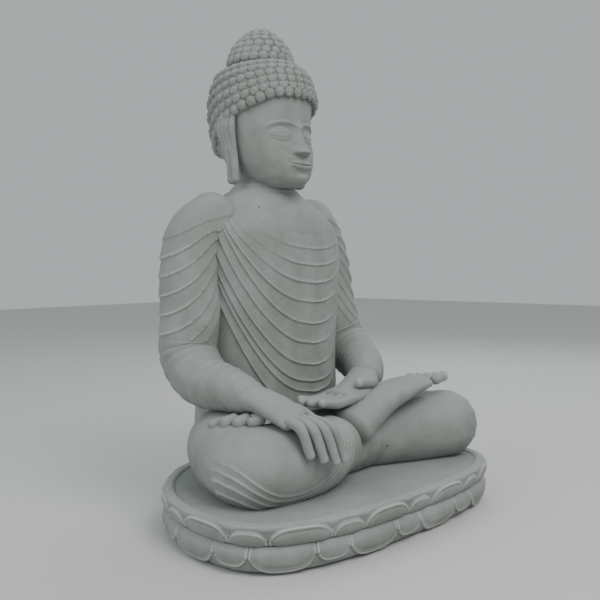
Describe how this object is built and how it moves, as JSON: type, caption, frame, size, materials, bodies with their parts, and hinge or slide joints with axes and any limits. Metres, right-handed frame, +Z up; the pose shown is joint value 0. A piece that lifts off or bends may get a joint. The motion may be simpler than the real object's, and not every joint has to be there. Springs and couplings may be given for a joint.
{
  "type": "stone buddha statue",
  "caption": "Seated figure carved with its low lotus base from a single block of stone, right hand reaching down over the knee and left hand in the lap; stands indoors or in a garden.",
  "frame": {"origin": "the middle of the underside of the lotus base, where the statue stands", "axes": "+Z up; the figure faces -Y; +X is the figure's left"},
  "size_m": [0.58, 0.42, 0.8],
  "materials": {
    "stone": "matt, finely tooled, worn paler along the carved edges"
  },
  "bodies": {
    "root": {"stone_buddha_statue": "stone"}
  },
  "joints": []
}
